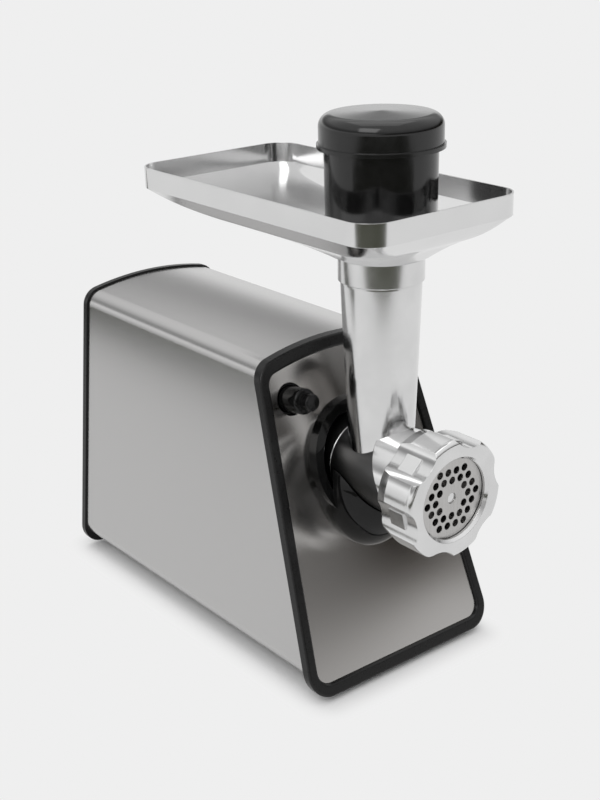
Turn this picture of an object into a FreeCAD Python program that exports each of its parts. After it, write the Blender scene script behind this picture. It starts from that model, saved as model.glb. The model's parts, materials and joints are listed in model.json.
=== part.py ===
import FreeCAD, Part
import math
import os

from FreeCAD import Placement, Rotation, Vector

doc = FreeCAD.newDocument("meat_grinder")
sheet = doc.addObject("Spreadsheet::Sheet", "Dims")

# Named sizes in millimetres and degrees
SIZES = {
    "lean_deg": 19.4, "front_foot_y": -113.0, "bezel_base_z": 3.0, "bezel_depth": 6.0,
    "bezel_half_w": 70.0, "bezel_taper": 0.087, "bezel_crown": 188.3, "dome_radius": 200.0,
    "bezel_border": 7.0, "panel_set_back": 2.0, "panel_gauge": 1.2,
    "sleeve_half_w": 65.9, "sleeve_taper": 0.1, "sleeve_base_z": 9.4, "sleeve_crown": 186.3,
    "sleeve_gauge": 1.0, "sleeve_rear_y": 141.0, "rear_y": 147.0, "rear_proud": 1.2,
    "base_half_w": 48.0, "foot_radius": 9.0, "foot_height": 3.0,
    "axis_z": 120.7, "barrel_rear_y": -50.0, "barrel_front_y": -143.0, "barrel_bore": 20.5,
    "neck_radius": 22.8, "thread_radius": 27.6, "thread_rear_y": -121.0,
    "tube_y": -90.3, "tube_top_z": 244.2, "tube_low_r": 17.9, "tube_high_r": 22.1,
    "rim_radius": 23.4, "rim_height": 13.8, "bore_low_r": 15.4, "bore_high_r": 20.0,
    "nut_front_y": -150.0, "nut_rear_y": -122.0, "nut_lobe_r": 34.1, "nut_valley_r": 29.3,
    "nut_window_r": 22.9, "plate_radius": 26.7, "plate_gauge": 5.0, "plate_pitch": 6.0,
    "plate_hole_r": 2.15, "auger_radius": 20.1, "auger_core_r": 9.0, "auger_pitch": 24.0,
    "knife_radius": 19.6, "knife_depth": 5.8,
    "collar_radius": 34.0, "collar_window": 28.4, "collar_socket": 23.5, "collar_proud": 4.0,
    "tray_half_w": 54.8, "tray_front_y": -141.3, "tray_rear_y": 63.2, "tray_rim_z": 277.1,
    "tray_wall": 12.0, "tray_corner": 15.0, "tray_gauge": 0.9, "tray_floor_half": 25.5,
    "cup_radius": 29.6, "cup_top_z": 300.6, "plunger_radius": 16.0, "plunger_low_z": 157.0,
    "cap_radius": 32.6, "cap_top_z": 319.6, "button_x": -36.3, "button_z": 160.5,
    "button_radius": 7.4, "motor_radius": 33.0,
    "mid_x": 20.0, "stage_one": 36.0, "stage_two": 45.0, "gear_play": 0.62,
}
for row, (alias, value) in enumerate(SIZES.items(), start=1):
    sheet.set("A%d" % row, alias)
    sheet.set("B%d" % row, str(value))
    sheet.setAlias("B%d" % row, alias)
doc.recompute()


def size(alias):
    return float(sheet.get(alias))


LEAN = math.tan(math.radians(size("lean_deg")))
AXIS_Z = size("axis_z")
nodes = []


def keep(obj, label):
    """Mark an object as one sub-part of the assembly."""
    obj.Label = label
    nodes.append(obj)
    return obj


def along_axis(y):
    """Placement whose local Z points to the front, along the grinding axis, starting at y."""
    return Placement(Vector(0, y, AXIS_Z), Rotation(Vector(1, 0, 0), 90))


def front_y(z, back=0.0):
    """Y of the leaning front plane, moved back by a distance along Y."""
    return size("front_foot_y") + LEAN * (z - size("bezel_base_z")) + back


def profile(name, edges, place=Placement()):
    sketch = doc.addObject("Sketcher::SketchObject", name)
    sketch.Placement = place
    for edge in edges:
        sketch.addGeometry(edge, False)
    return sketch


def polygon(points):
    """Closed outline of lines. A point of four numbers ends an arc through its first two."""
    ends = [Vector(*p[-2:], 0) for p in points]
    edges = []
    for i, p in enumerate(points):
        if len(p) == 4:
            edges.append(Part.Arc(ends[i - 1], Vector(p[0], p[1], 0), ends[i]))
        else:
            edges.append(Part.LineSegment(ends[i - 1], ends[i]))
    return edges


def rounded_rect(x0, y0, x1, y1, r):
    """Rectangle with round corners as sketch edges."""
    h = r * (1 - math.sqrt(0.5))
    lines = [((x0 + r, y0), (x1 - r, y0)), ((x1, y0 + r), (x1, y1 - r)),
             ((x1 - r, y1), (x0 + r, y1)), ((x0, y1 - r), (x0, y0 + r))]
    mids = [(x1 - h, y0 + h), (x1 - h, y1 - h), (x0 + h, y1 - h), (x0 + h, y0 + h)]
    edges = []
    for i, (a, b) in enumerate(lines):
        nxt = lines[(i + 1) % 4][0]
        edges.append(Part.LineSegment(Vector(*a, 0), Vector(*b, 0)))
        edges.append(Part.Arc(Vector(*b, 0), Vector(*mids[i], 0), Vector(*nxt, 0)))
    return edges


def extrude(name, sketch, direction, length):
    ext = doc.addObject("Part::Extrusion", name)
    ext.Base = sketch
    ext.DirMode = "Custom"
    ext.Dir = Vector(*direction)
    ext.Solid = True
    if isinstance(length, str):
        ext.setExpression("LengthFwd", length)
    else:
        ext.LengthFwd = length
    return ext


def cut(name, base, tools):
    """Base minus each of the tools."""
    for i, tool in enumerate(tools):
        out = doc.addObject("Part::Cut", "%s_c%d" % (name, i))
        out.Base, out.Tool = base, tool
        base = out
    return base


def common(name, a, b):
    out = doc.addObject("Part::Common", name)
    out.Base, out.Tool = a, b
    return out


def fuse(name, shapes):
    out = doc.addObject("Part::MultiFuse", name)
    out.Shapes = shapes
    out.Refine = True
    return out


def group(name, shapes):
    out = doc.addObject("Part::Compound", name)
    out.Links = shapes
    return out


def round_edges(name, base, radius_of):
    """Fillet the edges for which radius_of(edge) gives a radius."""
    doc.recompute()
    picks = []
    for i, edge in enumerate(base.Shape.Edges, start=1):
        r = radius_of(edge)
        if r:
            picks.append((i, r, r))
    out = doc.addObject("Part::Fillet", name)
    out.Base = base
    out.Edges = picks
    return out


def cylinder(name, radius, height, place):
    cyl = doc.addObject("Part::Cylinder", name)
    for prop, value in (("Radius", radius), ("Height", height)):
        if isinstance(value, str):
            cyl.setExpression(prop, value)
        else:
            setattr(cyl, prop, value)
    cyl.Placement = place
    return cyl


def box(name, x0, x1, y0, y1, z0, z1):
    out = doc.addObject("Part::Box", name)
    out.Length, out.Width, out.Height = x1 - x0, y1 - y0, z1 - z0
    out.Placement = Placement(Vector(x0, y0, z0), Rotation())
    return out


def plane_of(body, role):
    return [f for f in body.Origin.OriginFeatures if f.Role == role][0]


def body_sketch(body, name, role, edges):
    sketch = body.newObject("Sketcher::SketchObject", name)
    sketch.AttachmentSupport = [(plane_of(body, role), "")]
    sketch.MapMode = "FlatFace"
    for edge in edges:
        sketch.addGeometry(edge, False)
    return sketch


def turned(name, points, place):
    """Body of revolution about its local Z from (radius, height) points."""
    body = doc.addObject("PartDesign::Body", name)
    sketch = body_sketch(body, name + "_profile", "XZ_Plane", polygon(points))
    turn = body.newObject("PartDesign::Revolution", name + "_turn")
    turn.Profile = sketch
    turn.ReferenceAxis = (sketch, ["V_Axis"])
    turn.Angle = 360
    body.Placement = place
    doc.recompute()
    return body


def padded_body(name, edges, length, place):
    """Body padded along its local Z from one sketch."""
    body = doc.addObject("PartDesign::Body", name)
    sketch = body_sketch(body, name + "_profile", "XY_Plane", edges)
    pad = body.newObject("PartDesign::Pad", name + "_pad")
    pad.Profile = sketch
    if isinstance(length, str):
        pad.setExpression("Length", length)
    else:
        pad.Length = length
    body.Placement = place
    doc.recompute()
    return body


def circle(x, y, r):
    return Part.Circle(Vector(x, y, 0), Vector(0, 0, 1), r)


# Housing outlines: tapering sides under a shallow dome, drawn in X and Z
XZ = Rotation(Vector(1, 0, 0), 90)


def dome_prism(name, half_w, taper, base_z, crown, y0, y1, r_low, r_top):
    """Prism along Y with the housing outline and rounded long edges."""
    radius = size("dome_radius")
    x = half_w
    for _ in range(20):
        z = crown - x * x / (2 * radius)
        x = half_w - taper * (z - base_z)
    low_l, low_r = Vector(-half_w, base_z, 0), Vector(half_w, base_z, 0)
    top_l, top_r = Vector(-x, z, 0), Vector(x, z, 0)
    edges = [Part.LineSegment(low_l, low_r), Part.LineSegment(low_r, top_r),
             Part.Arc(top_r, Vector(0, crown, 0), top_l), Part.LineSegment(top_l, low_l)]
    sketch = profile(name + "_outline", edges, Placement(Vector(0, y1, 0), XZ))
    prism = extrude(name + "_prism", sketch, (0, -1, 0), y1 - y0)

    def radius_of(edge):
        box_ = edge.BoundBox
        if box_.YLength < y1 - y0 - 0.1:
            return 0
        return r_low if box_.Center.z < base_z + 20 else r_top
    return round_edges(name + "_round", prism, radius_of)


def leaning_slab(name, back0, back1, z0=-20.0, z1=230.0, half=120.0):
    """Slab between two planes parallel to the leaning front."""
    pts = [(front_y(z0, back0), z0), (front_y(z0, back1), z0), (front_y(z1, back1), z1),
           (front_y(z1, back0), z1)]
    place = Placement(Vector(-half, 0, 0), Rotation(Vector(1, 1, 1), 120))
    return extrude(name, profile(name + "_side", polygon(pts), place), (1, 0, 0), 2 * half)


Y_FRONT, Y_REAR = -150.0, 60.0
border = size("bezel_border")


def front_outline(name, inset, r_low, r_top):
    """Front outline moved inward by an inset."""
    return dome_prism(name, size("bezel_half_w") - inset * 0.97, size("bezel_taper"),
                      size("bezel_base_z") + inset, size("bezel_crown") - inset * 1.06,
                      Y_FRONT, Y_REAR, r_low, r_top)


# Front bezel: a leaning frame with a ledge behind the steel panel
ring_all = common("bezel_ring", front_outline("bezel_out", 0, 14, 13),
                  leaning_slab("bezel_slab", 0, size("bezel_depth")))
seat_back = size("panel_set_back") + size("panel_gauge")
window = common("bezel_window", front_outline("bezel_in", border, 8, 7.5),
                leaning_slab("window_slab", -5, seat_back))
inner_hole = front_outline("bezel_deep", border + 4, 5, 4)


def bezel_rim(edge):
    """Radius for edges that lie in the leaning front plane."""
    on_front = all(abs(v.Y - front_y(v.Z)) < 0.01 for v in edge.Vertexes)
    middle = edge.valueAt((edge.FirstParameter + edge.LastParameter) / 2)
    return 1.3 if on_front and abs(middle.y - front_y(middle.z)) < 0.01 else 0


bezel_sharp = cut("bezel", ring_all, [window, inner_hole])
front_bezel = keep(round_edges("bezel_soft", bezel_sharp, bezel_rim), "front_bezel")

# Steel front panel with holes for the socket and the lock button
panel_blank = common("panel_blank", front_outline("panel_out", border + 0.1, 8, 7.5),
                     leaning_slab("panel_slab", size("panel_set_back"), seat_back))
socket_hole = cylinder("socket_hole", 30.0, 120, along_axis(0))
button_place = Placement(Vector(size("button_x"), -46.1, size("button_z") - 1.6),
                         Rotation(Vector(1, 0, 0), 80))
button_hole = cylinder("button_hole", "Dims.button_radius + 1.8", 60,
                       button_place.multiply(Placement(Vector(0, 0, -20), Rotation())))
front_panel = keep(cut("panel", panel_blank, [socket_hole, button_hole]), "front_panel")

# Sheet sleeve wrapped round the machine, open at both ends
gauge = size("sleeve_gauge")


def sleeve_outline(name, grow, y0, y1, r_low, r_top):
    """Sleeve outline grown outward, between two Y planes."""
    return dome_prism(name, size("sleeve_half_w") + grow, size("sleeve_taper"),
                      size("sleeve_base_z") - grow, size("sleeve_crown") + grow, y0, y1, r_low, r_top)


sleeve_y0, sleeve_y1 = -140.0, size("sleeve_rear_y")
front_cut = leaning_slab("sleeve_front_cut", -120, size("bezel_depth"))
switch_z, switch_y = 96.0, 62.0
switch_x = size("sleeve_half_w") - size("sleeve_taper") * (switch_z - size("sleeve_base_z"))
tilt = Rotation(Vector(0, 1, 0), math.degrees(math.atan(-size("sleeve_taper"))))
switch_place = Placement(Vector(switch_x, switch_y, switch_z), tilt)


def switch_box(name, half_y, half_z, depth_in, depth_out):
    out = doc.addObject("Part::Box", name)
    out.Length, out.Width, out.Height = depth_in + depth_out, 2 * half_y, 2 * half_z
    out.Placement = switch_place.multiply(Placement(Vector(-depth_in, -half_y, -half_z), Rotation()))
    return out


sleeve = cut("sleeve", sleeve_outline("sleeve_out", 0, sleeve_y0, sleeve_y1, 10, 11),
             [sleeve_outline("sleeve_in", -gauge, sleeve_y0 - 5, sleeve_y1 + 5, 9, 10), front_cut,
              switch_box("switch_cutout", 14.2, 10.7, 6, 6)])
keep(sleeve, "housing_sleeve")

# Rear cover with vent slots, cord hole and a ring that locates the sleeve
proud = size("rear_proud")
rear_outer = dome_prism("rear_out", size("sleeve_half_w") + proud + 0.6, size("sleeve_taper"),
                        size("bezel_base_z"), size("sleeve_crown") + proud, sleeve_y1,
                        size("rear_y"), 13, 12)


def rear_rim(edge):
    return 2.5 if abs(edge.BoundBox.YMin - size("rear_y")) < 1e-3 and \
        abs(edge.BoundBox.YMax - size("rear_y")) < 1e-3 else 0


rear_shell = round_edges("rear_soft", rear_outer, rear_rim)
vents = []
for row in range(7):
    for side in (-1, 1):
        slot = profile("vent_%d_%d" % (row, side + 1),
                       rounded_rect(min(side * 6, side * 34), 92 + row * 10, max(side * 6, side * 34),
                                    96 + row * 10, 1.9), Placement(Vector(0, 151, 0), XZ))
        vents.append(extrude("vent_cut_%d_%d" % (row, side + 1), slot, (0, -1, 0), 9))
gland_z = 38.0
cord_hole = cylinder("cord_hole", 6.6, 20, Placement(Vector(0, 155, gland_z), XZ))
rear_spigot = cut("rear_spigot", sleeve_outline("spigot_out", -1.15, 135, sleeve_y1, 9, 10),
                  [sleeve_outline("spigot_in", -3.3, 130, 150, 7, 8)])
rear_body = cut("rear_body", rear_shell, [group("vent_group", vents), cord_hole])
rear_cover = keep(fuse("rear_cover_all", [rear_body, rear_spigot]), "rear_cover")
gland = turned("cord_gland_body", [(3.4, 0), (6.4, 0), (6.4, 6.0), (9.0, 6.0), (9.0, 7.0), (7.4, 9.0),
                                   (4.4, 9.0), (3.4, 8.1)],
               Placement(Vector(0, 141.0, gland_z), Rotation(Vector(1, 0, 0), -90)))
keep(gland, "cord_gland")

# Base tray under the sleeve and the rubber feet
base_w = size("base_half_w")
base_sketch = profile("base_outline", rounded_rect(-base_w, -103, base_w, 140.8, 10),
                      Placement(Vector(0, 0, size("bezel_base_z")), Rotation()))
base_plate = extrude("base_plate_pad", base_sketch, (0, 0, 1), "Dims.sleeve_base_z - Dims.bezel_base_z")
foot_spots = [(sx * 36.0, y) for sx in (-1, 1) for y in (-86.0, 126.0)]
screw_spots = [(sx * 36.0, y) for sx in (-1, 1) for y in (-62.0, 102.0)]
screw_holes = group("base_screw_holes", [
    cylinder("base_hole_%d" % i, 4.2, 3.2, Placement(Vector(x, y, 2.9), Rotation()))
    for i, (x, y) in enumerate(screw_spots)])
keep(cut("base_all", base_plate, [screw_holes]), "base_plate")
keep(group("feet", [cylinder("foot_%d" % i, "Dims.foot_radius", "Dims.foot_height",
                             Placement(Vector(x, y, 0), Rotation()))
                    for i, (x, y) in enumerate(foot_spots)]), "rubber_feet")


def screw_head(name, place, r=3.6, h=2.4):
    """Cross-recess screw head along local Z."""
    head = cylinder(name + "_head", r, h, place)
    slots = [box(name + "_s%d" % k, *dims) for k, dims in
             enumerate(((-2.2, 2.2, -0.5, 0.5, h - 1.2, h + 1), (-0.5, 0.5, -2.2, 2.2, h - 1.2, h + 1)))]
    for slot in slots:
        slot.Placement = place.multiply(slot.Placement)
    return cut(name, head, slots)


down = Rotation(Vector(1, 0, 0), 180)
keep(group("base_screws_all", [screw_head("base_screw_%d" % i, Placement(Vector(x, y, 6.1), down))
                               for i, (x, y) in enumerate(screw_spots)]), "base_screws")
to_rear = Rotation(Vector(1, 0, 0), -90)
rear_spots = [(-52.0, 26.0), (52.0, 26.0), (-42.0, 168.0), (42.0, 168.0)]
keep(group("rear_screws_all", [screw_head("rear_screw_%d" % i,
                                          Placement(Vector(x, size("rear_y"), z), to_rear), 3.4, 1.2)
                               for i, (x, z) in enumerate(rear_spots)]), "rear_screws")

# Socket collar: a ring on the leaning panel with a chin that bulges under the barrel
collar_bar = cylinder("collar_bar", "Dims.collar_radius", 130, along_axis(0))
collar_ring = common("collar_ring", collar_bar,
                     leaning_slab("collar_slab", -size("collar_proud"), size("panel_set_back")))
chin = doc.addObject("Part::Ellipsoid", "chin")
chin.Radius1, chin.Radius2, chin.Radius3 = 35.2, 27.4, 30.4
chin.Angle1, chin.Angle2, chin.Angle3 = -90, 90, 360
chin.Placement = Placement(Vector(0, -75.6, 103.1), Rotation())
chin_front = common("chin_front", chin, leaning_slab("chin_slab", -90, size("panel_set_back")))
socket_tube = cylinder("socket_tube", 29.6, 40, along_axis(-46))
socket_tube_cut = common("socket_tube_cut", socket_tube,
                         leaning_slab("socket_slab", -size("collar_proud") + 1, 60))
collar_all = fuse("collar_all", [collar_ring, chin_front, socket_tube_cut])
mouth = common("collar_mouth", cylinder("mouth_bar", "Dims.collar_window", 60, along_axis(-60)),
               leaning_slab("mouth_slab", -size("collar_proud") - 0.5, 12))
socket_bore = cylinder("socket_bore", "Dims.collar_socket", 90, along_axis(-40))
keep(cut("collar", collar_all, [mouth, socket_bore]), "socket_collar")

# Grinding head: threaded barrel, feed tube and turned rim in one casting
rear_s = -size("barrel_rear_y")


def ahead(y):
    """Distance in front of the barrel's rear end."""
    return -y - rear_s


neck_r, thread_r, bore_r = size("neck_radius"), size("thread_radius"), size("barrel_bore")
thread_s, front_s = ahead(size("thread_rear_y")), ahead(size("barrel_front_y"))
bead_s = ahead(-72.0)
barrel = turned("barrel", [(0, 0), (neck_r - 1, 0), (neck_r, 1), (neck_r, bead_s - 0.8),
                           (neck_r + 0.3, bead_s - 0.4), (neck_r + 0.3, bead_s + 0.4),
                           (neck_r, bead_s + 0.8), (neck_r, thread_s - 2),
                           (thread_r, thread_s), (thread_r, front_s), (0, front_s)],
                along_axis(size("barrel_rear_y")))
saddle_side = profile("saddle_side", polygon([(-83.5, 170), (-170, 170), (-170, 80), (-149.4, 80)]),
                      Placement(Vector(-40, 0, 0), Rotation(Vector(1, 1, 1), 120)))
saddle = common("saddle", cylinder("saddle_bar", "Dims.thread_radius", 25, along_axis(-98)),
                extrude("saddle_wedge", saddle_side, (1, 0, 0), 80))
tube_place = Placement(Vector(0, size("tube_y"), AXIS_Z), Rotation())
top = size("tube_top_z") - AXIS_Z
rim_low = top - size("rim_height")
tube_low, tube_high, rim_r = size("tube_low_r"), size("tube_high_r"), size("rim_radius")
tube = turned("feed_tube", [(0, 0), (tube_low, 0), (tube_high, rim_low - 1), (tube_high, rim_low),
                            (rim_r, rim_low + 0.6), (rim_r, top - 0.8), (rim_r - 0.8, top), (0, top)],
              tube_place)
seat_r, seat_s = size("plate_radius") + 0.1, front_s - 1.6
barrel_bore = turned("barrel_bore_tool", [(0, 10), (bore_r, 10), (bore_r, seat_s), (seat_r, seat_s),
                                          (seat_r, front_s + 2), (0, front_s + 2)],
                     along_axis(size("barrel_rear_y")))
tail_hole = cylinder("tail_hole", 8.3, 30, along_axis(-45))
mouth_r = size("bore_high_r")
tube_bore = turned("tube_bore_tool", [(0, 0), (size("bore_low_r"), 0), (mouth_r, top), (mouth_r, top + 5),
                                      (0, top + 5)], tube_place)
head = cut("head", fuse("head_solid", [barrel, tube, saddle]), [barrel_bore, tail_hole, tube_bore])
keep(head, "grinder_head")

# Auger: core, helical flight, rear bush and front pin
core_r, flight_r = size("auger_core_r"), size("auger_radius")
flight = doc.addObject("PartDesign::Body", "auger_body")
core = body_sketch(flight, "auger_core", "XZ_Plane", polygon(
    [(0, 0), (6.0, 0), (6.0, 11.7), (core_r, 11.7), (core_r, 74.0), (5.0, 74.0), (5.0, 88.6), (3.0, 88.6),
     (3.0, 95.6), (0, 95.6)]))
core_turn = flight.newObject("PartDesign::Revolution", "auger_turn")
core_turn.Profile = core
core_turn.ReferenceAxis = (core, ["V_Axis"])
core_turn.Angle = 360
doc.recompute()
tang = body_sketch(flight, "auger_tang", "XY_Plane", polygon([(-4, -4), (4, -4), (4, 4), (-4, 4)]))
tang_pad = flight.newObject("PartDesign::Pad", "auger_tang_pad")
tang_pad.Profile = tang
tang_pad.Length = 5.0
tang_pad.Reversed = True
doc.recompute()
blade = body_sketch(flight, "auger_flight", "XZ_Plane", polygon(
    [(core_r - 1, 13.0), (flight_r, 14.1), (flight_r, 16.5), (core_r - 1, 18.0)]))
helix = flight.newObject("PartDesign::AdditiveHelix", "auger_helix")
helix.Profile = blade
helix.ReferenceAxis = (blade, ["V_Axis"])
helix.Mode = 0
helix.setExpression("Pitch", "Dims.auger_pitch")
helix.Height = 56.0
doc.recompute()
flight.Placement = along_axis(-50.0)
keep(flight, "auger")
keep(turned("bush", [(6.08, 0), (8.1, 0), (8.1, 10.0), (13.0, 10.0), (13.0, 11.3), (6.08, 11.3)],
            along_axis(-50.0)), "auger_bush")

# Four-blade knife, perforated plate and ring nut
blades, tip_r = [], size("knife_radius")
for k in range(4):
    a = math.radians(90 * k + 20)
    for r, da in ((5.6, -0.85), (tip_r, -0.16), (tip_r, 0.24), (7.0, 0.55)):
        blades.append((r * math.cos(a + da), r * math.sin(a + da)))
knife = padded_body("knife_body", polygon(blades) + [circle(0, 0, 5.15)], "Dims.knife_depth",
                    along_axis(-135.3))
keep(knife, "knife")

pitch = size("plate_pitch")
holes = []
for i in range(-3, 4):
    for j in range(-3, 4):
        x, y = pitch * (i + 0.5 * j), pitch * j * math.sqrt(0.75)
        if max(abs(i), abs(j), abs(i + j)) in (2, 3):
            holes.append(circle(x, y, size("plate_hole_r")))
plate = padded_body("plate_body", [circle(0, 0, size("plate_radius")), circle(0, 0, 3.08)] + holes,
                    "Dims.plate_gauge", along_axis(-141.5))
keep(plate, "cutting_plate")

nut_len = size("nut_rear_y") - size("nut_front_y")
nut_place = along_axis(size("nut_rear_y"))
lobe_r = size("nut_lobe_r")
nut_round = turned("nut_round", [(0, 0), (lobe_r - 3, 0), (lobe_r - 1.5, 1.5), (lobe_r, 8),
                                 (lobe_r, nut_len - 3.6),
                                 (lobe_r - 0.7, nut_len - 1.0, lobe_r - 2.6, nut_len), (0, nut_len)],
                   nut_place)
scoop_r = 18.0
scoop_at = size("nut_valley_r") + scoop_r
scoops, pads = [], []
for k in range(6):
    spin = nut_place.multiply(Placement(Vector(), Rotation(Vector(0, 0, 1), 13 + 60 * k)))
    scoops.append(cylinder("scoop_%d" % k, scoop_r, nut_len + 2,
                           spin.multiply(Placement(Vector(scoop_at, 0, -1), Rotation()))))
    pad = box("grip_pad_%d" % k, thread_r + 1, thread_r + 2.9, -5, 5, 8, 19)
    pad.Placement = spin.multiply(pad.Placement)
    pads.append(pad)
thread_gap, window_r, lip_s = thread_r + 0.5, size("nut_window_r"), nut_len - 3.1
nut_bore = turned("nut_bore_tool", [(0, -1), (thread_gap, -1), (thread_gap, lip_s), (window_r, lip_s),
                                    (window_r, nut_len - 1.6), (window_r + 1.6, nut_len + 0.1),
                                    (0, nut_len + 0.1)], nut_place)
nut_body = cut("nut_body", nut_round, scoops)
keep(cut("nut", fuse("nut_solid", [nut_body] + pads), [nut_bore]), "ring_nut")

# Hopper tray: upright rim above a floor that slopes down to the feed tube
tray_g = size("tray_gauge")
floor_z = size("tube_top_z") + 0.35
wall_z = size("tray_rim_z") - size("tray_wall")


def tray_solid(name, inset, rise):
    w, r = size("tray_half_w") - inset, size("tray_corner") - inset
    y0, y1 = size("tray_front_y") + inset, size("tray_rear_y") - inset
    half = size("tray_floor_half") - inset * 0.4
    ty = size("tube_y")
    high = profile(name + "_high", rounded_rect(-w, y0, w, y1, r),
                   Placement(Vector(0, 0, wall_z), Rotation()))
    mid_z = floor_z + rise + (wall_z - floor_z - rise) * 0.4
    mid = profile(name + "_mid", rounded_rect(-w + 16, y0 + 15, w - 16, y1 - 94, r + 8),
                  Placement(Vector(0, 0, mid_z), Rotation()))
    near = profile(name + "_near", rounded_rect(-w + 2.5, y0 + 2.5, w - 2.5, y1 - 6, r),
                   Placement(Vector(0, 0, wall_z - 2.6 + rise * 0.6), Rotation()))
    low = profile(name + "_low", rounded_rect(-half, ty - half, half, ty + half, 21 - inset),
                  Placement(Vector(0, 0, floor_z + rise), Rotation()))
    loft = doc.addObject("Part::Loft", name + "_loft")
    loft.Sections = [low, mid, near, high]
    loft.Solid = True
    loft.Ruled = False
    wall = extrude(name + "_wall", profile(name + "_rim", rounded_rect(-w, y0, w, y1, r),
                                           Placement(Vector(0, 0, wall_z), Rotation())),
                   (0, 0, 1), size("tray_wall") + rise)
    return fuse(name, [loft, wall])


spigot = cylinder("tray_spigot", 19.1, 12.5, Placement(Vector(0, size("tube_y"), floor_z - 12), Rotation()))
spigot_hole = cylinder("tray_hole", 18.3, 40, Placement(Vector(0, size("tube_y"), floor_z - 20), Rotation()))
tray = cut("tray", fuse("tray_with_spigot", [
    cut("tray_shell", tray_solid("tray_outer", 0, 0), [tray_solid("tray_inner", tray_g, tray_g)]), spigot]),
    [spigot_hole])
keep(tray, "hopper_tray")

# Pusher: wide storage cup standing on the tray floor, with a plunger below and a lift-off cap
cup_z = floor_z + tray_g + 0.35
cup_r, cup_top = size("cup_radius"), size("cup_top_z")
rod_r, rod_z = size("plunger_radius"), size("plunger_low_z")
pusher_place = Placement(Vector(0, size("tube_y"), 0), Rotation())
cup = turned("cup", [(0, rod_z), (rod_r - 1, rod_z), (rod_r, rod_z + 1), (rod_r, cup_z), (20.5, cup_z),
                     (cup_r, 257.5), (cup_r + 0.3, cup_top), (cup_r - 1.7, cup_top), (cup_r - 2, 258.5),
                     (20.0, cup_z + 3), (rod_r - 2, cup_z + 3), (rod_r - 2, rod_z + 2.5), (0, rod_z + 2.5)],
             pusher_place)
keep(cup, "pusher_cup")
cap_r, cap_z = size("cap_radius"), size("cap_top_z")
lip_z, skirt_r = cup_top + 0.4, cup_r - 2.2
cap = turned("cap", [(0, 313.5), (25.2, 313.5), (25.2, 295.0), (skirt_r, 295.0), (skirt_r, lip_z),
                     (cap_r + 1, lip_z), (cap_r + 1, lip_z + 2.2), (cap_r, lip_z + 2.2), (cap_r, cap_z - 7.8),
                     (cap_r - 1.9, cap_z - 3.0, cap_r - 6.6, cap_z - 1.0), (0, cap_z)], pusher_place)
keep(cap, "pusher_cap")

# Lock button with its spring seat, sliding in a guide behind the panel
knob_r = size("button_radius")
button = turned("button", [(0, 0), (6.0, 0), (6.0, 8.0), (knob_r, 8.0), (knob_r, 21.6),
                           (knob_r - 0.4, 22.6, knob_r - 1.4, 23.0), (4.8, 23.2), (4.8, 28.6),
                           (4.5, 29.5, 3.6, 29.8), (0, 30.0)], button_place)
keep(button, "lock_button")
guide = turned("guide", [(7.8, 7.6), (9.1, 7.6), (9.1, 3.0), (10.5, 3.0), (10.5, -6.0), (7.8, -6.0)],
               button_place)
keep(guide, "button_guide")

# Drive: output shaft with a square-ended socket, gearbox and motor on a common frame
shaft_bar = turned("shaft", [(0, -60), (9.0, -60), (9.0, -7.0), (12.0, -7.0), (12.0, -0.4), (0, -0.4)],
                   along_axis(-50.0))
keep(cut("shaft_all", shaft_bar, [box("shaft_socket", -4.4, 4.4, -51, -44.4, AXIS_Z - 4.4, AXIS_Z + 4.4)]),
     "output_shaft")


def case_prism(name, inset, y0, y1):
    """Gearbox outline that follows the tapering sleeve, between two Y planes."""
    pts = [(-54 + inset, 17 + inset), (54 - inset, 17 + inset), (54 - inset, 98), (42 - inset, 162 - inset),
           (-42 + inset, 162 - inset), (-54 + inset, 98)]
    sketch = profile(name + "_outline", polygon(pts), Placement(Vector(0, y1, 0), XZ))
    return extrude(name, sketch, (0, -1, 0), y1 - y0)


mid_x, mid_z = size("mid_x"), AXIS_Z - math.sqrt(size("stage_two") ** 2 - size("mid_x") ** 2)
motor_z = mid_z - math.sqrt(size("stage_one") ** 2 - mid_x ** 2)


def at_point(x, y, z):
    """Placement at a point, with local Z to the front."""
    return Placement(Vector(x, y, z), XZ)


keep(cut("case", case_prism("case_block", 0, -34, 20),
         [case_prism("case_cavity", 3, -31, 25), cylinder("case_shaft_hole", 9.4, 60, along_axis(10))]),
     "gearbox_case")
keep(cut("lid", case_prism("lid_plate", 0, 20, 24),
         [cylinder("lid_motor_hole", 11.0, 60, at_point(0, 50, motor_z))]), "gearbox_lid")


def gear(name, teeth, module, bore, width, place, toward_deg, gap_first):
    """Spur gear along local Z with a tooth, or a gap, facing the mating gear."""
    pitch_r = teeth * module / 2
    root, tip = pitch_r - 1.15 * module, pitch_r + 0.85 * module
    step = 2 * math.pi / teeth
    turn = math.radians(toward_deg) + (step / 2 if gap_first else 0)
    half = step / 4 - size("gear_play") / pitch_r / 2
    slope = math.tan(math.radians(20)) * module
    outline = []
    for k in range(teeth):
        mid = turn + k * step
        for r, spread in ((root, slope * 1.15), (tip, -slope * 0.85)):
            outline.append((r, mid - half - spread / pitch_r))
        for r, spread in ((tip, -slope * 0.85), (root, slope * 1.15)):
            outline.append((r, mid + half + spread / pitch_r))
    pts = [(r * math.cos(a), r * math.sin(a)) for r, a in outline]
    return padded_body(name, polygon(pts) + [circle(0, 0, bore)], width, place)


def heading(x0, z0, x1, z1):
    return math.degrees(math.atan2(z1 - z0, x1 - x0))


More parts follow.
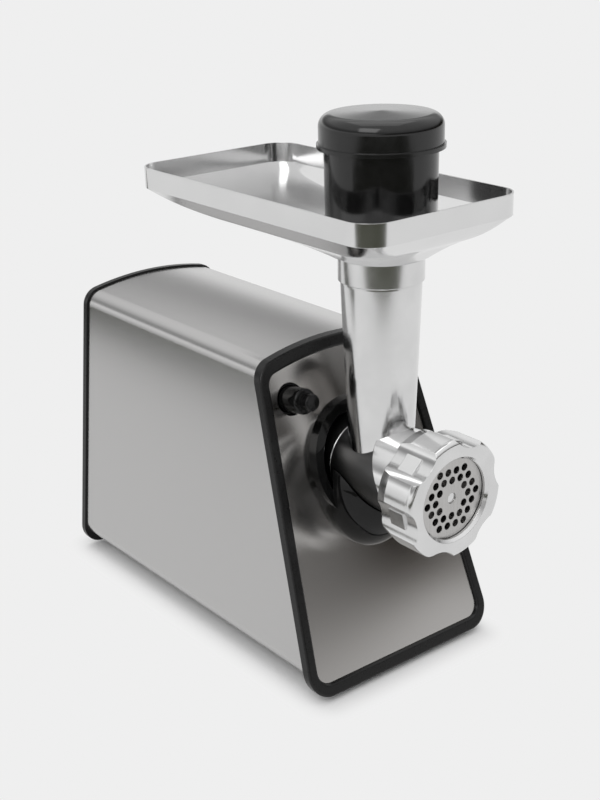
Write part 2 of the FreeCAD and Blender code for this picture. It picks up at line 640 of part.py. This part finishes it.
to_mid = heading(0, AXIS_Z, mid_x, mid_z)
to_motor = heading(mid_x, mid_z, 0, motor_z)
keep(gear("gear_out", 46, 1.5, 9.02, 14, at_point(0, -12, AXIS_Z), to_mid, False), "output_gear")
keep(gear("gear_small", 14, 1.5, 4.08, 20, at_point(mid_x, -8, mid_z), to_mid + 180, True), "middle_pinion")
keep(gear("gear_large", 58, 1.0, 4.08, 10, at_point(mid_x, 5, mid_z), to_motor, False), "middle_gear")
keep(gear("gear_motor", 14, 1.0, 4.02, 13, at_point(0, 7, motor_z), to_motor + 180, True), "motor_pinion")
keep(cylinder("axle", 4.0, 51.0, at_point(mid_x, 20, mid_z)), "gear_axle")
motor_place = Placement(Vector(0, 24.0, motor_z), Rotation(Vector(1, 0, 0), -90))
can_r = size("motor_radius")
keep(turned("motor", [(8.0, 0), (can_r - 3, 0), (can_r, 3), (can_r, 74), (can_r - 3, 78), (8.0, 78)],
            motor_place), "motor_can")
keep(turned("rotor", [(0, -28), (4.0, -28), (4.0, -8), (7.7, -8), (7.7, 70), (4.0, 70), (4.0, 84), (0, 84)],
            motor_place), "motor_rotor")
keep(cut("board", box("board_plate", 33.4, 35.0, 36, 92, 66, 126),
         [box("board_notch", 30, 40, 86, 99, 60, 72)]), "control_board")
keep(box("cradle", -34, 34, 40, 88, 10.5, 16.4), "motor_cradle")

# Switch on the hidden side: frame and three-position rocker
frame = cut("switch_frame_all", switch_box("switch_plate", 15.5, 12.0, 0, 1.6),
            [switch_box("switch_window", 11.6, 8.1, 8, 8)])
tub = cut("switch_tub_all", switch_box("switch_tub_box", 14.0, 10.5, 20, 0),
          [switch_box("switch_tub_hole", 11.6, 8.1, 17, 8)])
keep(fuse("switch_housing", [frame, tub]), "switch_frame")
rocker_pts = [(-6.0, -5.0), (-1.0, -7.2), (1.8, -6.6), (0.9, 0), (1.8, 6.6), (-1.0, 7.2), (-6.0, 5.0)]
rocker = padded_body("rocker", polygon(rocker_pts), 22.0,
                     switch_place.multiply(Placement(Vector(0, 11.0, 0), XZ)))
trunnion = cylinder("rocker_trunnion", 1.8, 22.6, switch_place.multiply(Placement(Vector(-3.0, 11.3, 0), XZ)))
keep(fuse("rocker_all", [rocker, trunnion]), "switch_rocker")

doc.recompute()
for obj in doc.Objects:
    if "Invalid" in obj.State or "Error" in obj.State:
        print("STATE", obj.Name, obj.State)
os.makedirs("parts", exist_ok=True)
for obj in nodes:
    shape = obj.Shape
    if shape.isNull() or not shape.isValid():
        print("BAD", obj.Label)
        continue
    shape.exportStep(os.path.join("parts", obj.Label + ".step"))
    bb = shape.BoundBox
    print("%-16s solids %d  x %.1f %.1f  y %.1f %.1f  z %.1f %.1f" % (
        obj.Label, len(shape.Solids), bb.XMin, bb.XMax, bb.YMin, bb.YMax, bb.ZMin, bb.ZMax))
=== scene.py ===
import json
import math

import bpy
from mathutils import Matrix, Vector

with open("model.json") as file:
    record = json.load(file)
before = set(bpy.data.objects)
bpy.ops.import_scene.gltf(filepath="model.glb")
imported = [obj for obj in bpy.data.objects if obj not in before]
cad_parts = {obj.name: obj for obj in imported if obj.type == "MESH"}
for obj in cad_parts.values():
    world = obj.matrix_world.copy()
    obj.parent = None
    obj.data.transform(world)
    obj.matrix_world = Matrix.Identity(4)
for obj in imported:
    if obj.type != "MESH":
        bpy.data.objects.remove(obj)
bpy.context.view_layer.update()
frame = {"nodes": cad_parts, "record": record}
nodes = frame["nodes"]

# Camera fitted to the photograph: pixels of a 600 x 800 frame, degrees and metres
IMAGE_H = 800
FOCAL_PX = 1342.9
CAM_AT = Vector((-0.4636, -0.6059, 0.4317))
CAM_AZ, CAM_EL, CAM_ROLL = (math.radians(d) for d in (-38.24, 21.31, -1.38))

# The barrel's neck, about the grinding axis (metres): dull and painted dark inside this radius, as painted
# shade for the dark collar and chin it reflects; polished from the next
AXIS_Z = 0.1207
NECK_DULL_R, NECK_POLISHED_R = 0.02286, 0.02302
# The neck's dark tone is painted shade: a dark colour in place of the collar's and chin's dark reflection
NECK_PAINTED_SHADE_TONE, NECK_ROUGHNESS = (0.12, 0.12, 0.12, 1), 0.34

# Floor: its size, the even tone of the backdrop and the box around the base that keeps the shadow (metres)
FLOOR_SIZE = 40
BACKDROP_TONE = 0.863
SHADOW_AT, SHADOW_HALF, SHADOW_FADE = (0, 0.017, 0), (0.057, 0.128, 0), 0.020

# Lamps, in metres and watts: name, place, width and height, power
AIM = (0, -0.02, 0.15)
LAMPS = (("key", (-1.5, -0.7, 1.6), 1.2, 10),
         ("top", (0.3, 0.3, 2.2), 1.6, 6))

# Dark parts of the room: name, place, turn in degrees, width and height in metres
DARK_CARDS = (("table_front", (-0.789, -1.122, 0.002), (0, 0, -37.4), 2.4, 1.44),
              ("left_rear", (-0.316, 0.388, 0.083), (90, -17.4, 37), 0.55, 0.055))


class Nodes:
    """Adds and links nodes in a node tree."""

    def __init__(self, tree):
        self.tree = tree

    def add(self, kind, **values):
        """New node; a value names one of its properties or, with _ for a space, one of its inputs."""
        node = self.tree.nodes.new(kind)
        for key, value in values.items():
            if hasattr(node, key):
                setattr(node, key, value)
            else:
                node.inputs[key.replace("_", " ")].default_value = value
        return node

    def link(self, out, into):
        self.tree.links.new(out, into)

    def ease(self, value, low, high, **ends):
        """Smooth step of a value from low to high."""
        step = self.add("ShaderNodeMapRange", interpolation_type="SMOOTHSTEP",
                        From_Min=low, From_Max=high, **ends)
        self.link(value, step.inputs["Value"])
        return step.outputs["Result"]


class Look(Nodes):
    """Nodes of a material, around its main shader."""

    def __init__(self, mat):
        mat.use_nodes = True
        super().__init__(mat.node_tree)
        self.mat = mat
        self.shader = self.tree.nodes["Principled BSDF"]

    def set(self, **values):
        for key, value in values.items():
            self.shader.inputs[key.replace("_", " ")].default_value = value

    def coords(self, stretch=(1, 1, 1)):
        place = self.add("ShaderNodeTexCoord")
        mapping = self.add("ShaderNodeMapping", Scale=stretch)
        self.link(place.outputs["Object"], mapping.inputs["Vector"])
        return mapping.outputs["Vector"]

    def noise(self, scale, stretch=(1, 1, 1)):
        tex = self.add("ShaderNodeTexNoise", Scale=scale, Detail=3.0)
        self.link(self.coords(stretch), tex.inputs["Vector"])
        return tex.outputs["Fac"]

    def roughness(self, value, low, high):
        """Roughness from low to high over the middle of a texture's values."""
        span = self.add("ShaderNodeMapRange", From_Min=0.25, From_Max=0.75, To_Min=low, To_Max=high)
        self.link(value, span.inputs["Value"])
        self.link(span.outputs["Result"], self.shader.inputs["Roughness"])

    def tint(self, value, dark, light):
        """Colour from dark to light over the middle of a texture's values."""
        ramp = self.add("ShaderNodeValToRGB")
        for stop, position, colour in zip(ramp.color_ramp.elements, (0.3, 0.7), (dark, light)):
            stop.position, stop.color = position, (*colour, 1)
        self.link(value, ramp.inputs["Fac"])
        self.link(ramp.outputs["Color"], self.shader.inputs["Base Color"])

    def relief(self, value, strength, depth):
        """Fine relief on top of edges softened by a small radius; depth and radius in metres."""
        bump = self.add("ShaderNodeBump", Strength=strength, Distance=depth)
        edge = self.add("ShaderNodeBevel", samples=4, Radius=0.0004)
        self.link(value, bump.inputs["Height"])
        self.link(edge.outputs["Normal"], bump.inputs["Normal"])
        self.link(bump.outputs["Normal"], self.shader.inputs["Normal"])


def new_look(name):
    return Look(bpy.data.materials.new(name))


def grey(v, warm=0.0):
    return (v + warm, v, v - warm)


def metal(name, dark, light, rough, grain=(400, (1, 1, 1)), bump=0.05, depth=0.00005, smear=0.0):
    """Bare metal whose grain varies tone and roughness; smear draws reflections out sideways."""
    look = new_look(name)
    look.set(Metallic=1.0)
    if smear:
        look.set(Anisotropic=smear)
        around_z = look.add("ShaderNodeTangent", direction_type="RADIAL", axis="Z")
        look.link(around_z.outputs[0], look.shader.inputs["Tangent"])
    fac = look.noise(*grain)
    look.tint(fac, dark, light)
    look.roughness(fac, *rough)
    look.relief(fac, bump, depth)
    return look.mat


def plastic(name, dark, light, rough, scale=900, bump=0.08, shine=0.3):
    """Moulded plastic or rubber with a fine surface texture."""
    look = new_look(name)
    look.set(Specular_IOR_Level=shine)
    fac = look.noise(scale)
    look.tint(fac, dark, light)
    look.roughness(fac, *rough)
    look.relief(fac, bump, 0.00004)
    return look.mat


# Grain as noise scale and stretch: long lines front to back, or up and down
ALONG_Y = (5000, (1, 0.02, 1))
ALONG_Z = (5000, (1, 1, 0.02))
looks = {
    "brushed_steel": metal("brushed_steel_look", grey(0.49, 0.004), grey(0.51, 0.004), (0.20, 0.24),
                           ALONG_Y, 0.008, 0.00001),
    "brushed_steel_dark": metal("panel_look", grey(0.43, 0.012), grey(0.45, 0.012), (0.145, 0.175),
                                ALONG_Z, 0.005, 0.00001, 0.9),
    "satin_black": plastic("satin_black_look", grey(0.006), grey(0.009), (0.26, 0.32), 500, 0.03, 0.3),
    "rubber_black": plastic("rubber_look", grey(0.012), grey(0.02), (0.7, 0.85), 500, 0.15, 0.2),
    "gloss_black": plastic("gloss_black_look", grey(0.004), grey(0.006), (0.05, 0.08), 300, 0.003, 0.25),
    "cast_aluminium": metal("cast_aluminium_look", grey(0.67), grey(0.74), (0.12, 0.20),
                            (60, (1, 1, 1)), 0.06, 0.0003),
    "tool_steel": metal("tool_steel_look", grey(0.47, 0.008), grey(0.54, 0.008), (0.25, 0.36),
                        (700, (1, 1, 0.02)), 0.03),
    "polished_steel": metal("polished_steel_look", grey(0.70), grey(0.75), (0.13, 0.18),
                            (25, (1, 1, 1)), 0.02, 0.0003),
    "plated_steel": metal("plated_look", grey(0.50), grey(0.60), (0.25, 0.35)),
    "white_plastic": plastic("white_plastic_look", grey(0.7), grey(0.76), (0.4, 0.5)),
    "grey_plastic": plastic("grey_plastic_look", grey(0.35), grey(0.4), (0.45, 0.55)),
    "board_green": plastic("board_look", (0.02, 0.09, 0.04), (0.03, 0.12, 0.05), (0.4, 0.5)),
}


def paint_neck_shade(mat):
    """The barrel's neck is duller than the polished rest, and painted darker as painted shade for the dark
    collar and chin it reflects.
    """
    look = Look(mat)
    from_axis = look.add("ShaderNodeVectorMath", operation="SUBTRACT")
    from_axis.inputs[1].default_value = (0, 0, AXIS_Z)
    look.link(look.coords(), from_axis.inputs[0])
    across = look.add("ShaderNodeVectorMath", operation="MULTIPLY")
    across.inputs[1].default_value = (1, 0, 1)
    look.link(from_axis.outputs[0], across.inputs[0])
    radius = look.add("ShaderNodeVectorMath", operation="LENGTH")
    look.link(across.outputs[0], radius.inputs[0])
    neck = look.ease(radius.outputs["Value"], NECK_DULL_R, NECK_POLISHED_R, To_Min=1.0, To_Max=0.0)
    # The neck gets a painted-shade dark tone and a duller roughness
    for socket, kind, dull_with_painted_shade in (("Base Color", "RGBA", NECK_PAINTED_SHADE_TONE), ("Roughness", "FLOAT", NECK_ROUGHNESS)):
        polished = look.shader.inputs[socket].links[0].from_socket
        mix = look.add("ShaderNodeMix", data_type=kind)
        factor, first, second = [i for i in mix.inputs if i.enabled]
        look.link(neck, factor)
        look.link(polished, first)
        second.default_value = dull_with_painted_shade
        look.link([o for o in mix.outputs if o.enabled][0], look.shader.inputs[socket])


# Every node takes the look of its slot; the pusher is glossier, and the head has its dull neck with
# painted shade
slot_of = {s["node"]: s["material_slot"] for s in frame["record"]["subparts"]}
for name, obj in nodes.items():
    obj.data.materials.clear()
    obj.data.materials.append(looks[slot_of[name]])
pusher_look = plastic("pusher_look", grey(0.006), grey(0.008), (0.10, 0.14), 300, 0.003, 0.5)
for name in ("pusher_cup", "pusher_cap"):
    nodes[name].data.materials[0] = pusher_look
casting = looks["cast_aluminium"].copy()
casting.name = "grinder_head_look"
paint_neck_shade(casting)
nodes["grinder_head"].data.materials[0] = casting


def floor_look():
    """Pale floor that keeps the shadow near the base and fades to an even backdrop around it."""
    look = new_look("floor_look")
    look.tint(look.noise(6.0), grey(0.845), grey(0.855))
    look.set(Roughness=0.9, Specular_IOR_Level=0.0)
    away = look.add("ShaderNodeNewGeometry").outputs["Position"]
    for operation, amount in (("SUBTRACT", SHADOW_AT), ("ABSOLUTE", None), ("SUBTRACT", SHADOW_HALF),
                              ("MAXIMUM", (0, 0, 0)), ("LENGTH", None)):
        step = look.add("ShaderNodeVectorMath", operation=operation)
        look.link(away, step.inputs[0])
        if amount:
            step.inputs[1].default_value = amount
        away = step.outputs["Value" if operation == "LENGTH" else "Vector"]
    path = look.add("ShaderNodeLightPath")
    seen = look.add("ShaderNodeMath", operation="MAXIMUM")
    look.link(path.outputs["Is Camera Ray"], seen.inputs[0])
    look.link(path.outputs["Is Glossy Ray"], seen.inputs[1])
    share = look.add("ShaderNodeMath", operation="MULTIPLY")
    look.link(seen.outputs[0], share.inputs[0])
    look.link(look.ease(away, 0.0, SHADOW_FADE), share.inputs[1])
    even = look.add("ShaderNodeEmission", Color=(*grey(BACKDROP_TONE), 1))
    mix = look.add("ShaderNodeMixShader")
    for out, into in zip((share, look.shader, even), mix.inputs):
        look.link(out.outputs[0], into)
    look.link(mix.outputs[0], look.tree.nodes["Material Output"].inputs["Surface"])
    return look.mat


bpy.ops.mesh.primitive_plane_add(size=FLOOR_SIZE, location=(0, 0, 0))
floor = bpy.context.object
floor.name = "floor"
floor.data.materials.append(floor_look())

# Square softboxes that face the object
for name, at, width, power in LAMPS:
    light = bpy.data.lights.new(name, "AREA")
    light.shape = "RECTANGLE"
    light.size, light.size_y, light.energy = width, width, power
    lamp = bpy.data.objects.new(name, light)
    bpy.context.collection.objects.link(lamp)
    lamp.location = at
    lamp.rotation_euler = (Vector(AIM) - Vector(at)).to_track_quat("-Z", "Y").to_euler()

# Dark cards, seen only in reflections: past the table's front edge, and low behind on the left
dim = plastic("dim_room_look", (0.045, 0.047, 0.032), (0.055, 0.057, 0.04), (0.8, 0.9), 40, 0.05, 0.0)
for name, at, turn, width, height in DARK_CARDS:
    bpy.ops.mesh.primitive_plane_add(size=1, location=at, rotation=[math.radians(a) for a in turn])
    card = bpy.context.object
    card.name = name
    card.scale = (width, height, 1)
    card.visible_camera = card.visible_diffuse = card.visible_shadow = False
    card.data.materials.append(dim)

# Studio surround: light by the height of the ray (its Z), as stops from the horizon to overhead
AROUND = [(0.0, grey(0.85)), (0.10, grey(1.05)), (0.16, grey(1.25)), (0.23, grey(0.45)),
          (0.30, grey(0.30)), (0.36, grey(0.40)), (0.55, grey(0.95)), (1.0, grey(1.05))]
FRONT_RIGHT = [(0.0, grey(0.85)), (0.020, grey(0.08, 0.02)), (0.030, grey(0.02, 0.006)),
               (0.15, grey(0.02, 0.005)), (0.18, grey(0.22)), (0.27, grey(0.55)), (0.60, grey(0.95)),
               (1.0, grey(1.05))]
FRONT_RIGHT_WAY, FRONT_RIGHT_FROM, FRONT_RIGHT_FULL = (0.6, -0.8, 0), -0.15, 0.45

world = bpy.data.worlds.new("studio")
bpy.context.scene.world = world
world.use_nodes = True
studio = Nodes(world.node_tree)
ray = studio.add("ShaderNodeTexCoord").outputs["Generated"]
height = studio.add("ShaderNodeSeparateXYZ")
studio.link(ray, height.inputs[0])
ahead = studio.add("ShaderNodeVectorMath", operation="DOT_PRODUCT")
ahead.inputs[1].default_value = FRONT_RIGHT_WAY
studio.link(ray, ahead.inputs[0])
room = studio.add("ShaderNodeMix", data_type="RGBA")
studio.link(studio.ease(ahead.outputs["Value"], FRONT_RIGHT_FROM, FRONT_RIGHT_FULL), room.inputs["Factor"])
for socket, levels in (("A", AROUND), ("B", FRONT_RIGHT)):
    ramp = studio.add("ShaderNodeValToRGB")
    stops = ramp.color_ramp.elements
    while len(stops) < len(levels):
        stops.new(0.5)
    for stop, (position, colour) in zip(stops, levels):
        stop.position, stop.color = position, (*colour, 1)
    studio.link(height.outputs["Z"], ramp.inputs["Fac"])
    studio.link(ramp.outputs["Color"], room.inputs[socket])
surround = world.node_tree.nodes["Background"]
studio.link(room.outputs["Result"], surround.inputs["Color"])

# The camera sees the floor's even backdrop above the horizon too
path = studio.add("ShaderNodeLightPath")
backdrop = studio.add("ShaderNodeBackground", Color=(*grey(BACKDROP_TONE), 1))
choose = studio.add("ShaderNodeMixShader")
studio.link(path.outputs["Is Camera Ray"], choose.inputs[0])
studio.link(surround.outputs[0], choose.inputs[1])
studio.link(backdrop.outputs[0], choose.inputs[2])
studio.link(choose.outputs[0], world.node_tree.nodes["World Output"].inputs["Surface"])

cam_data = bpy.data.cameras.new("camera")
cam = bpy.data.objects.new("camera", cam_data)
bpy.context.collection.objects.link(cam)
cam_data.sensor_fit = "VERTICAL"
cam_data.sensor_height = 24.0
cam_data.lens = FOCAL_PX * cam_data.sensor_height / IMAGE_H
cam_data.clip_start, cam_data.clip_end = 0.01, 60
behind = Vector((math.sin(CAM_AZ) * math.cos(CAM_EL), -math.cos(CAM_AZ) * math.cos(CAM_EL),
                 math.sin(CAM_EL)))
right = Vector((math.cos(CAM_AZ), math.sin(CAM_AZ), 0))
up = behind.cross(right)
right, up = (math.cos(CAM_ROLL) * right + math.sin(CAM_ROLL) * up,
             -math.sin(CAM_ROLL) * right + math.cos(CAM_ROLL) * up)
cam.matrix_world = Matrix.Translation(CAM_AT) @ Matrix((right, up, behind)).transposed().to_4x4()
bpy.context.scene.camera = cam
bpy.context.scene.view_settings.view_transform = "Standard"
